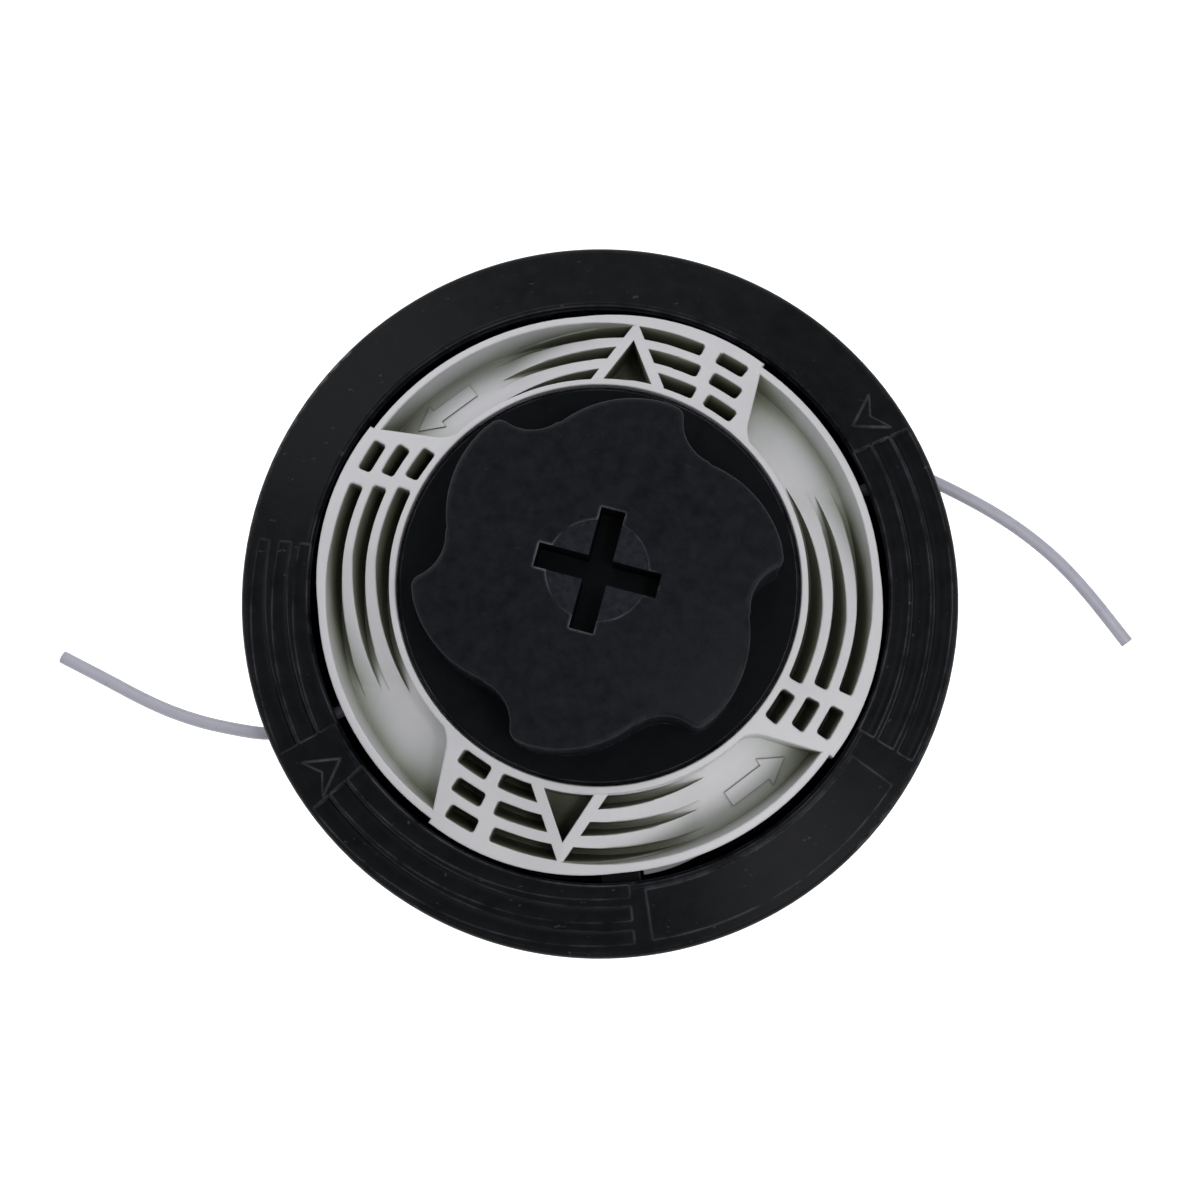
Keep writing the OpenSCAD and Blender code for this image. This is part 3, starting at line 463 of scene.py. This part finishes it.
def copied_solid(node, name, merge_under, join_flat=True):
    """A copy of a solid that stands for it, with points closer than a size merged and flat faces joined."""
    solid = nodes[node]
    piece = bpy.data.objects.new(name, solid.data.copy())
    scene.collection.objects.link(piece)
    bpy.ops.object.select_all(action="DESELECT")
    piece.select_set(True)
    bpy.context.view_layer.objects.active = piece
    bpy.ops.object.mode_set(mode="EDIT")
    bpy.ops.mesh.select_all(action="SELECT")
    bpy.ops.mesh.remove_doubles(threshold=merge_under * MM)
    if join_flat:
        bpy.ops.mesh.dissolve_degenerate(threshold=SLIVERS_UNDER * MM)
        bpy.ops.mesh.dissolve_limited(angle_limit=math.radians(FLAT_WITHIN))
    bpy.ops.object.mode_set(mode="OBJECT")
    bpy.ops.mesh.customdata_custom_splitnormals_clear()
    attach(piece, solid["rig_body"])
    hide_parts(node)
    return piece


# %% Splinters
FOLDED_OVER = 150
SPLINTER_UNDER = 0.6


def pull_in_splinters(piece):
    """Draws each splinter that lies folded over its neighbour together, by its shortest side."""
    bpy.context.view_layer.objects.active = piece
    bpy.ops.object.mode_set(mode="EDIT")
    bpy.ops.mesh.select_mode(type="EDGE")
    bpy.ops.mesh.select_all(action="DESELECT")
    mesh = bmesh.from_edit_mesh(piece.data)
    short_sides = set()
    for edge in mesh.edges:
        if len(edge.link_faces) == 2 and edge.calc_face_angle() > math.radians(FOLDED_OVER):
            splinter = min(edge.link_faces, key=lambda face: face.calc_area())
            if splinter.calc_area() < SPLINTER_UNDER * MM ** 2:
                short_sides.add(min(splinter.edges, key=lambda side: side.calc_length()))
    for side in short_sides:
        side.select_set(True)
    bmesh.update_edit_mesh(piece.data)
    if short_sides:
        bpy.ops.mesh.merge(type="COLLAPSE")
    bpy.ops.mesh.select_all(action="SELECT")
    bpy.ops.mesh.delete_loose()
    bpy.ops.object.mode_set(mode="OBJECT")
    print(piece.name, "had", len(short_sides), "splinters")


# %% Rounding the edges that a test picks
class EdgeFacts:
    """What a test needs to know about an edge, in millimetres and degrees."""
    def __init__(self, edge):
        middle = (edge.verts[0].co + edge.verts[1].co) / 2 / MM
        self.radius = math.hypot(middle.x, middle.y)
        self.height = middle.z
        self.angle = math.degrees(math.atan2(middle.y, middle.x))
        self.turn = math.degrees(edge.calc_face_angle_signed(0))
        flat_face, wall = sorted(edge.link_faces, key=lambda face: -face.normal.z)
        self.flatness = flat_face.normal.z
        self.wall_lean = abs(wall.normal.z)


def round_edges(piece, radius, steps, wanted):
    """Rounds the edges of a piece that a test on their facts picks."""
    bpy.context.view_layer.objects.active = piece
    bpy.ops.object.mode_set(mode="EDIT")
    bpy.ops.mesh.select_mode(type="EDGE")
    bpy.ops.mesh.select_all(action="DESELECT")
    mesh = bmesh.from_edit_mesh(piece.data)
    picked = [edge for edge in mesh.edges if len(edge.link_faces) == 2 and wanted(EdgeFacts(edge))]
    for edge in picked:
        edge.select_set(True)
    bmesh.update_edit_mesh(piece.data)
    bpy.ops.mesh.bevel(offset=radius * MM, segments=steps, affect="EDGES", clamp_overlap=False)
    bpy.ops.object.mode_set(mode="OBJECT")
    print(piece.name, "has", len(picked), "edges rounded to", radius, "mm")


def shade_moulding(piece):
    """Smooth shading that keeps the true corners."""
    bpy.ops.object.select_all(action="DESELECT")
    piece.select_set(True)
    bpy.context.view_layer.objects.active = piece
    bpy.ops.object.shade_smooth_by_angle(angle=math.radians(32))
    even = piece.modifiers.new("even", "WEIGHTED_NORMAL")
    even.mode = "FACE_AREA"
    even.weight = 100
    even.keep_sharp = True
    bpy.ops.object.modifier_apply(modifier=even.name)
    open_edges = sum(1 for count in edge_uses(piece).values() if count != 2)
    print(piece.name, "has", len(piece.data.polygons), "faces and", open_edges, "open edges")


def edge_uses(piece):
    """How many faces use each edge of a mesh."""
    uses = {}
    for face in piece.data.polygons:
        for key in face.edge_keys:
            uses[key] = uses.get(key, 0) + 1
    return uses


# %% Rounded winding ring
RING_FACE_SLOPE = 7.9 / 14.74
POCKET_DEPTH = 7
spool_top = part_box("spool")[1][2] / MM
spool = copied_solid("spool", "winding_spool", 0.25)
pull_in_splinters(spool)


def on_ring(e):
    """Tells whether an edge is a rim of the ring's face, or of a rib well before its tip."""
    depth = spool_top - (e.radius - 35.36) * RING_FACE_SLOPE - e.height
    step = (e.angle - 54) % 90
    beside_triangle = 36.4 < e.radius < 48.8 and abs(e.angle % 180 - 82) < 10
    return not beside_triangle and (depth < 0.35 or 28 < step < 50 and depth < POCKET_DEPTH - 1)


round_edges(spool, 0.4, 3, lambda e: e.turn > 40 and e.flatness > 0.75 and e.wall_lean < 0.5
    and e.radius > 30 and on_ring(e))
shade_moulding(spool)

# %% Rounded knob
crown_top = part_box("knob")[1][2] / MM
knob = copied_solid("knob", "tap_knob", 0.1)
round_edges(knob, 0.75, 4, lambda e: e.turn > 40 and e.flatness > 0.9 and e.radius > 18
    and e.height > crown_top - 2.5)
shade_moulding(knob)

# %% Zones of the knob
DISC_R = 8.6
SLOT_REACH_R = 11.4
knob.data.materials.append(knob_disc_sheen_plastic)
knob.data.materials.append(knob_dish_shaded_plastic)


def reach(face):
    """How far from the axis a face's furthest corner is, in millimetres."""
    corners = [knob.data.vertices[index].co for index in face.vertices]
    return max(math.hypot(corner.x, corner.y) for corner in corners) / MM


def sunk_by(face):
    """How far below the knob's top a face's middle is, in millimetres."""
    return crown_top - face.center.z / MM


disc_faces = [face for face in knob.data.polygons if face.normal.z > 0.99
    and reach(face) < DISC_R + 0.1 and sunk_by(face) < 0.6]
sunk_faces = [face for face in knob.data.polygons if sunk_by(face) > 0.8 and face.normal.z > 0.8
    and (reach(face) < SLOT_REACH_R or sunk_by(face) > 3)]
slot_walls = [face for face in knob.data.polygons if sunk_by(face) > 0.8 and face.normal.z <= 0.8
    and math.hypot(face.center.x, face.center.y) < SLOT_REACH_R * MM]
# The disc faces take the lighter material with the painted sheen.
for face in disc_faces:
    face.material_index = 1
# The dish and slot faces take the darker material with the painted shade.
for face in sunk_faces + slot_walls:
    face.material_index = 2
print("disc faces:", len(disc_faces), "dish and slot faces:", len(sunk_faces) + len(slot_walls))

# %% [markdown]
# The tap spring is squeezed as the knob goes in. Its foot stays on the housing's floor while its upper end
# moves with the washer. A smooth-shaded copy of it stands for the spring.

# %% Tap spring
spring = copied_solid("tap_spring", "coil_spring", 0.005, join_flat=False)
bpy.ops.object.shade_smooth()
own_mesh(spring)

# %% Finish
scene.view_settings.view_transform = "Standard"
